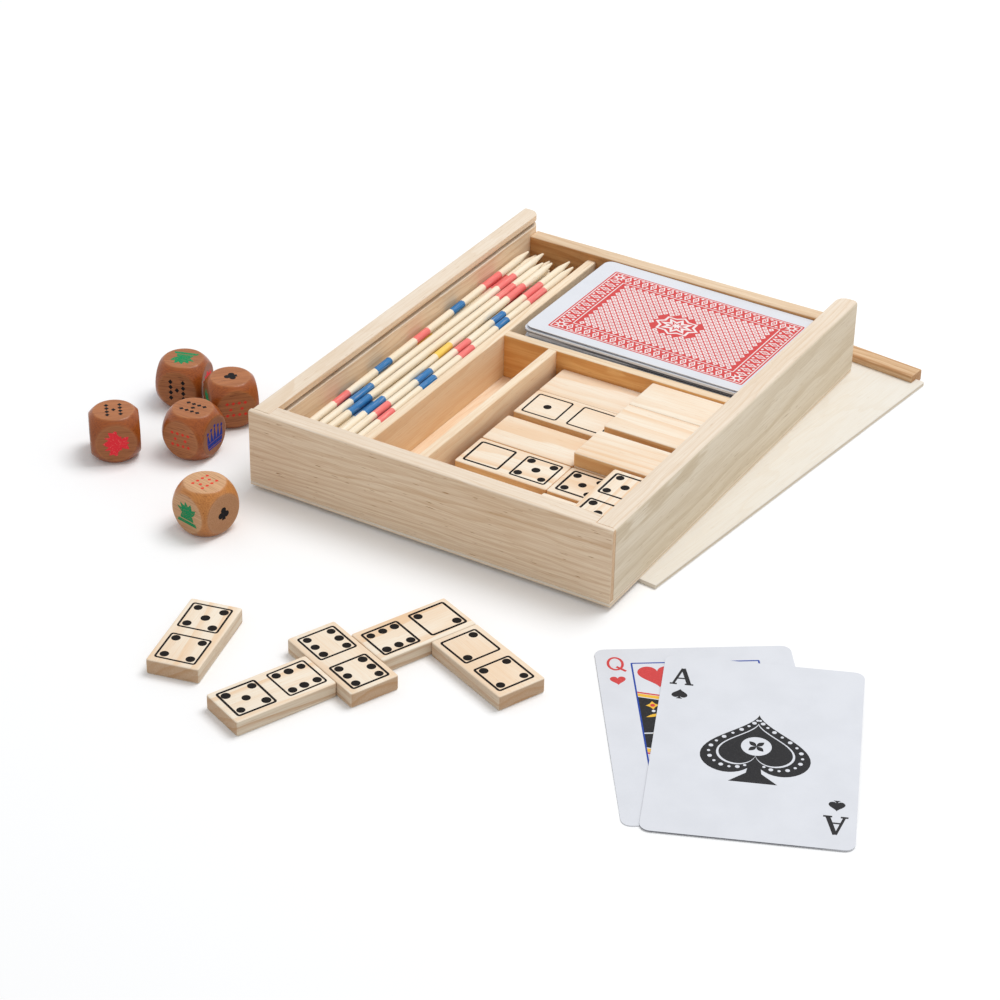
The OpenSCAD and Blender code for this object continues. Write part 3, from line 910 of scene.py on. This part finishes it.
# Each die's turn on the table, and what its own faces bear: face, mark and turn of the mark.
DICE = {
    "die_1": (41, "+z nine 0, -y queen 90, -x ace 0, +x ten 0, +y king 0, -z knave 0"),
    "die_2": (18, "+z knave 180, -y nine 0, +x queen 0, -x king 0, +y ten 0, -z ace 0"),
    "die_3": (48, "+z ace 90, -y ten 90, -x knave 0, +x nine 0, +y queen 0, -z king 0"),
    "die_4": (3, "+z nine 90, -y ten 90, +x king 0, -x knave 0, +y ace 0, -z queen 0"),
    "die_5": (-11, "+z ten 0, -y knave 0, +x ace 0, -x queen 0, +y nine 0, -z king 0"),
}
# What turns a mark that is drawn facing up to each face, with its top up where it can be.
FACE_TURN = {
    "+z": Matrix(),
    "-z": turned(180, "X"),
    "-y": turned(90, "X"),
    "+y": turned(180) @ turned(90, "X"),
    "+x": turned(90) @ turned(90, "X"),
    "-x": turned(-90) @ turned(90, "X"),
}


def make_dice():
    inks = list(DIE_INKS)
    for node, (turn, marks) in DICE.items():
        low, high = box_of(node)
        half = (high.z - low.z) / 2 - PRINT_RISE
        place = Matrix.Translation((low + high) / 2) @ turned(turn)
        log = moved(rng.uniform(0, LOG_LENGTH), rng.uniform(10, 30), -rng.uniform(10, 30))
        form = Form()
        solid, shading = die_solid(half)
        form.add(solid, place, log, 0, shading)
        for face, mark, mark_turn in [entry.split() for entry in marks.split(",")]:
            ink_name, shapes = MARKS[mark]
            on_face = FACE_TURN[face] @ moved(0, 0, half) @ turned(float(mark_turn))
            for i, shape in enumerate(shapes):
                # Shapes that overlap lie a hair under one another, and all within the size of the die.
                solid = prism(shape, -PRINT_DEPTH - DEEPER * i, PRINT_RISE - LOWER * i)
                form.add(solid, place @ on_face, log @ on_face, 1 + inks.index(ink_name))
        body_wood = DIE_WOOD_PALE if node == "die_5" else DIE_WOOD
        form.piece(node, "turned", node, "dice_wood", [body_wood, *DIE_INKS.values()])


# ---------------------------------------------------------------- cards

CARD_INKS = {
    "bare": card_stock("card_stock", (222, 225, 232), (218, 221, 228)),
    "white": card_stock("card_white", (240, 230, 230), (234, 222, 222)),
    "red": print_on_card("card_red", 206, 66, 66),
    "black": print_on_card("card_black", 20, 20, 24),
    "blue": print_on_card("card_blue", 28, 66, 158),
    "yellow": print_on_card("card_yellow", 238, 186, 58),
}
# The card edges' dark colour is painted shadow where the cards part.
CARD_LOOKS = [*CARD_INKS.values(), card_edge("card_edge", (240, 242, 248), (66, 68, 80))]
CARD_T = 0.3
CARD_R = 3.2
CARD_SIZE = (88, 62)
LAYER_RISE = 0.012        # each ink lies this much over the one below it
OVERLAP_RISE = 0.15       # and a shape that overlaps one of the same ink this share of that


class Card(Form):
    """Cards with their prints, which are drawn in the frame of a face: x to its right and y to its top."""

    face = Matrix()

    def add_sheet(self, place, thick=CARD_T):
        """A card from z = -thick up to 0 in its own frame, with its long side along x."""
        edge = len(CARD_LOOKS) - 1
        sheet = prism(rounded(*CARD_SIZE, CARD_R, 6), -thick, 0)
        self.add(sheet, place, Matrix.Translation(place.translation),
                 lambda face: 0 if abs(face.normal.z) > 0.5 else edge)

    def draw(self, outline, colour, layer=1, hole=None, place=None):
        """Prints an outline in one colour, in the frame of place or else of the face."""
        look = list(CARD_INKS).index(colour)
        stamp(self, place or self.face, Matrix(), outline, look, hole, layer * LAYER_RISE)

    def draw_all(self, shapes, colour):
        """Prints shapes that overlap, each a hair over the one before."""
        for i, shape in enumerate(shapes):
            self.draw(shape, colour, 1 + OVERLAP_RISE * i)


def lifted(rise):
    """Lifts a card by its front left corner, and leaves its back right corner down."""
    length, width = CARD_SIZE
    slope = (-rise / length / 2, -rise / width / 2, 1, rise / 2)
    return Matrix(((1, 0, 0, 0), (0, 1, 0, 0), slope, (0, 0, 0, 1)))


CARD_SKEW = 0.15


def make_packet(node, slip, count, risers):
    """A packet of the deck, card by card, none quite in line with the next. risers say from which card on
    the packet is lifted by a corner, how much, and how far it is shifted to the left and front."""
    low, high = box_of(node)
    pitch = (high.z - low.z) / count
    middle = (low + high) / 2
    form = Card()
    rise = shift = 0
    for i in range(count):
        rise, shift = risers.get(i, (rise, shift))
        x, y = [at + either_way(slip) - shift for at in middle.xy]
        place = moved(x, y, low.z + i * pitch + CARD_T)
        form.add_sheet(place @ turned(either_way(CARD_SKEW)) @ lifted(rise))
    form.piece(node, "cards", "deck", "card_stock", CARD_LOOKS)


BACK_PANEL = (78, 51)
BACK_SLIP = (1.9, -0.9)   # the panel isn't quite in the middle of the card
BACK_BORDER = 7.2
BORDER_STEP = 3.5
TOOTH = [(2.5, 5.0, "white", 2), (1.4, 3.0, "red", 3), (0.55, 1.3, "white", 4)]
FIELD_STEP = 2.7
FIELD_ROW = 0.62 * FIELD_STEP
FIELD_CLEAR = (0.9, 0.8)  # how far the field's lozenges keep from its sides
STAR_R = 8.6
STAR_RINGS = [(STAR_R, 6.6, "white", 2), (7.4, 5.6, "red", 3), (6.5, 3.7, "white", 4), (4.4, 2.0, "red", 5),
              (2.7, 1.1, "white", 6)]
STAR_SQUEEZE = 0.83


def frame_line(length, width, line, radius, inner_radius):
    """A rectangular line: its outer outline and its hole."""
    return (rounded(length, width, radius, 2), rounded(length - 2 * line, width - 2 * line, inner_radius, 2))


def card_back(card):
    """A red back: a toothed border round a field of small lozenges, and a star in the middle."""
    long_side, short_side = BACK_PANEL
    card.draw(rounded(long_side, short_side, 0.6, 2), "red")
    for inset in (0.55, BACK_BORDER - 0.6):
        outline, hole = frame_line(long_side - 2 * inset, short_side - 2 * inset, 0.4, 0.4, 0.2)
        card.draw(outline, "white", 2, hole)
    add_border(card, long_side, short_side)
    add_field(card, long_side - 2 * BACK_BORDER, short_side - 2 * BACK_BORDER)
    for outer, inner, colour, layer in STAR_RINGS:
        card.draw([(x, STAR_SQUEEZE * y) for x, y in star((0, 0), (outer, inner), 16)], colour, layer)


def add_border(card, long_side, short_side):
    """White teeth along the border, each with a red core, and small lozenges between them."""
    for side, reach, off in ((0, long_side, short_side), (90, short_side, long_side),
                             (180, long_side, short_side), (270, short_side, long_side)):
        place = card.face @ turned(side)
        count = round((reach - 2 * BACK_BORDER) / BORDER_STEP)
        step = (reach - 2 * BACK_BORDER) / count
        middle = off / 2 - BACK_BORDER / 2
        for i in range(count + 1):
            x = -reach / 2 + BACK_BORDER + i * step
            for wide, tall, colour, layer in TOOTH:
                card.draw(lozenge((x, middle), wide, tall), colour, layer, place=place)
            if i < count:
                for across in (-1.9, 1.9):
                    card.draw(lozenge((x + step / 2, middle + across), 1.5, 1.2), "white", 2, place=place)
        corner = (-reach / 2 + BACK_BORDER / 2, middle)
        card.draw(star(corner, (2.9, 1.3), 16), "white", 2, place=place)
        card.draw(disc(corner, 0.9, 10), "red", 3, place=place)


def add_field(card, length, width):
    """Rows of small white lozenges, each row half a step along, kept clear of the star."""
    rows = int(width / FIELD_ROW) // 2
    columns = int(length / FIELD_STEP) // 2
    for row in range(-rows, rows + 1):
        for column in range(-columns - 1, columns + 2):
            x, y = (column + (0.5 if row % 2 else 0)) * FIELD_STEP, row * FIELD_ROW
            inside = abs(x) < length / 2 - FIELD_CLEAR[0] and abs(y) < width / 2 - FIELD_CLEAR[1]
            if inside and math.hypot(x, y / STAR_SQUEEZE) > STAR_R + 0.9:
                card.draw(lozenge((x, y), FIELD_STEP * 0.8, FIELD_STEP * 0.98), "white", 2)
                card.draw(lozenge((x, y), FIELD_STEP * 0.26, FIELD_STEP * 0.34), "red", 3)


def make_deck():
    make_packet("card_deck_lower", 0.15, 33, {})
    make_packet("card_deck_upper", 0.12, 18, {6: (0.3, 0.5), 11: (0.6, -0.1), 15: (0.9, 0.7)})
    low, high = box_of("card_top")
    card = Card()
    place = Matrix.Translation(top_of("card_top")) @ lifted(1.5)
    card.add_sheet(place, high.z - low.z)
    card.face = place @ moved(*BACK_SLIP)
    card_back(card)
    card.piece("card_top", "back", "deck", "card_back", CARD_LOOKS)


def spade_shapes(middle, width):
    """A spade: a heart on end, on its stem."""
    x, y = middle
    foot = y - 0.56 * width
    stem = [(x - 0.22 * width, foot), (x + 0.22 * width, foot), (x + 0.07 * width, foot + 0.14 * width),
            (x + 0.03 * width, y - 0.1 * width), (x - 0.03 * width, y - 0.1 * width),
            (x - 0.07 * width, foot + 0.14 * width)]
    return [heart_on_end(middle, width), stem]


def letter_a(middle, tall):
    """A capital A with small feet: strokes as (start, end, width), in shares of its height."""
    strokes = (((-0.3, -0.5), (-0.01, 0.5), 0.1), ((0.3, -0.5), (0.01, 0.5), 0.17),
               ((-0.2, -0.14), (0.2, -0.14), 0.08), ((-0.43, -0.5), (-0.16, -0.5), 0.09),
               ((0.14, -0.5), (0.46, -0.5), 0.09))
    middle = Vector(middle)
    return [bar(middle + Vector(start) * tall, middle + Vector(end) * tall, width * tall)
            for start, end, width in strokes]


ACE_TURN, QUEEN_TURN = 22.9, 34.5
ACE_INDEX, QUEEN_INDEX = (-25.0, 33.2), (-25.0, 36.2)     # an index's middle, from the card's middle
INDEX_SUIT, INDEX_SUIT_DOWN = 4.9, 9.0    # the suit's width, and how far it is under the index
LETTER_H = 8.2


def table_card(node, turn):
    """A card on the table, and the frames of its face read upright and upside down."""
    card = Card()
    face = Matrix.Translation(top_of(node)) @ turned(turn)
    card.add_sheet(face @ turned(90))
    return card, (face, face @ turned(180))


def make_ace():
    card, faces = table_card("card_ace_of_spades", ACE_TURN)
    x, y = ACE_INDEX
    for face in faces:
        card.face = face
        card.draw_all(letter_a((x, y), LETTER_H), "black")
        card.draw_all(spade_shapes((x, y - INDEX_SUIT_DOWN), INDEX_SUIT), "black")
    card.face = faces[0]
    add_big_spade(card)
    card.piece("card_ace_of_spades", "face", "ace", "card_stock", CARD_LOOKS)


BIG_SPADE, BIG_SPADE_AT = 33, (0, 1.5)


def add_big_spade(card):
    """A large spade: black, a ring of white beads round its edge, a white line and a quatrefoil in a disc."""
    card.draw_all(spade_shapes(BIG_SPADE_AT, BIG_SPADE)[::-1], "black")
    for i, (x, y) in enumerate(heart_on_end(BIG_SPADE_AT, BIG_SPADE - 5.0, 40)):
        if 3 < i < 37 and abs(i - 20) > 1:
            card.draw(disc((x, y + 0.6), 0.72 if i % 2 else 0.5, 10), "bare", 2)
    card.draw(heart_on_end(BIG_SPADE_AT, BIG_SPADE - 9.4), "bare", 2)
    card.draw(heart_on_end(BIG_SPADE_AT, BIG_SPADE - 10.8), "black", 3)
    middle = (BIG_SPADE_AT[0], BIG_SPADE_AT[1] - 0.6)
    card.draw(disc(middle, 4.6, 32), "bare", 4)
    for tip in arc(middle, 3.2, 45, 315, 3):
        card.draw(leaf(middle, tip, 1.7), "black", 5)


QUEEN_FRAME, QUEEN_LINE = (40.5, 73), 0.55


def make_queen():
    """A queen of hearts without a figure: her place holds stripes, stars and leaves, twice over."""
    card, faces = table_card("card_queen_of_hearts", QUEEN_TURN)
    card.face = faces[0]
    outline, hole = frame_line(*QUEEN_FRAME, QUEEN_LINE, 0.3, 0.2)
    card.draw(outline, "blue", 1, hole)
    x, y = QUEEN_INDEX
    for face in faces:
        card.face = face
        card.draw(oval((x, y), 5.4, 7.2), "red", 1, oval((x, y), 3.7, 5.6))
        card.draw(bar((x + 0.2, y - 1.6), (x + 3.0, y - 4.1), 0.9), "red", 2)
        card.draw(heart_shape((x, y - INDEX_SUIT_DOWN), INDEX_SUIT), "red")
        card.draw(heart_shape((-12.4, 28.9), 12.4), "red", 2)
        add_queen_ornament(card, QUEEN_FRAME[0] / 2 - QUEEN_LINE)
    card.piece("card_queen_of_hearts", "face", "queen", "card_stock", CARD_LOOKS)


def add_queen_ornament(card, half, top=35.4):
    """One half of the queen's ornament, from the card's middle up to her frame."""
    for outline, colour in (
            ([(-half, 0.3), (half, 0.3), (half, 7.0), (-half, 18.5)], "black"),
            ([(-half, 18.9), (half, 7.4), (half, 9.2), (-half, 20.4)], "yellow"),
            ([(-half, 20.6), (half, 9.4), (half, 10.2), (-half, 21.3)], "red"),
            ([(2.4, top), (12.0, top), (12.0, 26.5), (2.4, 30.5)], "yellow"),
            ([(12.6, top), (14.2, top), (14.2, 25.6), (12.6, 26.3)], "red"),
            ([(-3.2, top), (1.8, top), (1.8, 30.8), (-3.2, 32.8)], "blue")):
        card.draw(outline, colour)
    for i in range(5):
        x, y = -half + 4.0 + 7.6 * i, 14.0 - 2.35 * i
        card.draw(star((x, y), (2.1, 1.15), 8), "yellow", 2)
        card.draw(disc((x, y), 0.75, 10), "red", 3)
        card.draw(leaf((x - 2.6, y - 5.9), (x + 2.6, y - 4.3), 1.3), "yellow", 2)
        card.draw(disc((x, y - 2.9), 0.6, 10), "bare", 2)


# ---------------------------------------------------------------- pick-up sticks

CORAL, BLUE, NAVY, YELLOW = srgb(244, 120, 116), srgb(34, 116, 178), srgb(18, 70, 148), srgb(250, 210, 92)
STICK_LOOKS = {
    "stick_master": stick_spiral("stick_spiral", BLUE, 16),
    "sticks_five_rings": stick_paint("stick_five", (28, 12, CORAL), (53, 8, BLUE), (78, 9, CORAL),
                                     (104, 9.5, BLUE), (131, 9, CORAL)),
    "sticks_three_rings": stick_paint("stick_three", (28, 12, CORAL), (80, 10, YELLOW), (126, 12, BLUE)),
    "sticks_blue_ends": stick_paint("stick_blue", (29, 12, BLUE), (128, 13, NAVY)),
    "sticks_two_rings": stick_paint("stick_two", (28, 12, CORAL), (126, 13, BLUE)),
}
STICK_R, TIP_LENGTH, TIP_R = 1.4, 8, 0.45
STICK_SIDES = 16


def stick_solid(length):
    """A stick along x from its back tip at 0: round, with long tapered ends and blunt tips."""
    ends = [(0, 0.35 * TIP_R), (0.12, 0.8 * TIP_R), (0.4, TIP_R), (TIP_LENGTH * 0.9, STICK_R * 0.96),
            (TIP_LENGTH * 1.15, STICK_R)]
    stations = ends + [(length * i / 8, STICK_R) for i in range(1, 8)]
    stations += [(length - x, r) for x, r in reversed(ends)]
    turns = [math.tau * k / STICK_SIDES for k in range(STICK_SIDES)]
    return loft([[(x, r * math.cos(t), r * math.sin(t)) for t in turns] for x, r in stations])


def make_sticks():
    for node, look in STICK_LOOKS.items():
        form = Form()
        for solid in solids_of(node):
            points = sorted((v.co.copy() for v in solid.verts), key=lambda p: p.y)
            solid.free()
            tips = [extent([p for p in points if abs(p.y - end.y) < 0.3]) for end in (points[0], points[-1])]
            front, back = [(low + high) / 2 for low, high in tips]
            run = (front - back).normalized()
            place = Matrix.Translation(back) @ run.to_track_quat("X", "Z").to_matrix().to_4x4()
            # The spiral runs round the stick itself, and the others' wood lies anywhere in its log.
            log = Matrix() if node == "stick_master" else moved(0, either_way(30), either_way(30))
            form.add(stick_solid((front - back).length), place, log)
        form.piece(node, "painted", "sticks", "stick_wood", [look])


# ---------------------------------------------------------------- studio

FLOOR_GLOW = 0.03
FLOOR_HALF, FLOOR_DOWN = 4.0, 0.00002
WORLD_STRENGTH = 0.57
LAMP_POWER = 15.8
LAMP_SIZE = 0.9
LAMP_AT = (0.30, 0.55, 1.55)
CAMERA_AT = (0.41897, -0.75935, 0.51427)
CAMERA_TURN = (57.876, -0.999, 30.919)
CAMERA_LENS = 102.577


def make_floor():
    mesh = bpy.data.meshes.new("studio_floor")
    corners = [(x * FLOOR_HALF, y * FLOOR_HALF, -FLOOR_DOWN) for x, y in ((-1, -1), (1, -1), (1, 1), (-1, 1))]
    mesh.from_pydata(corners, [], [(0, 1, 2, 3)])
    mesh.attributes.new("grain", "FLOAT_VECTOR", "POINT").data.foreach_set(
        "vector", [part / MM for corner in corners for part in corner])
    mesh.materials.append(floor_material(FLOOR_GLOW))
    floor = linked("studio_floor", mesh)


def make_world():
    """Even light from all round, and white behind everything that the camera or a gloss sees."""
    world = bpy.data.worlds.new("studio")
    bpy.context.scene.world = world
    world.use_nodes = True
    tree = Tree(world.node_tree)
    background = tree.nodes["Background"].inputs
    tree.feed(background["Strength"], tree.remap(tree.seen(), 0, 1, WORLD_STRENGTH, 1))
    tree.feed(background["Color"], (1, 1, 1, 1))


def make_lamp():
    lamp = bpy.data.lights.new("softbox", "AREA")
    lamp.shape, lamp.size, lamp.energy = "SQUARE", LAMP_SIZE, LAMP_POWER
    holder = linked("softbox", lamp)
    holder.location = LAMP_AT
    holder.rotation_euler = (-Vector(LAMP_AT)).to_track_quat("-Z", "Y").to_euler()


def make_camera():
    camera = bpy.data.cameras.new("camera")
    camera.lens, camera.sensor_width = CAMERA_LENS, 36
    holder = bpy.context.scene.camera = linked("camera", camera)
    holder.location = CAMERA_AT
    holder.rotation_euler = [math.radians(turn) for turn in CAMERA_TURN]


make_camera()
make_walls()
make_floor_panel()
make_lid()
make_dominoes()
make_dice()
make_deck()
make_ace()
make_queen()
make_sticks()
make_floor()
make_world()
make_lamp()
bpy.context.scene.view_settings.view_transform = "Standard"
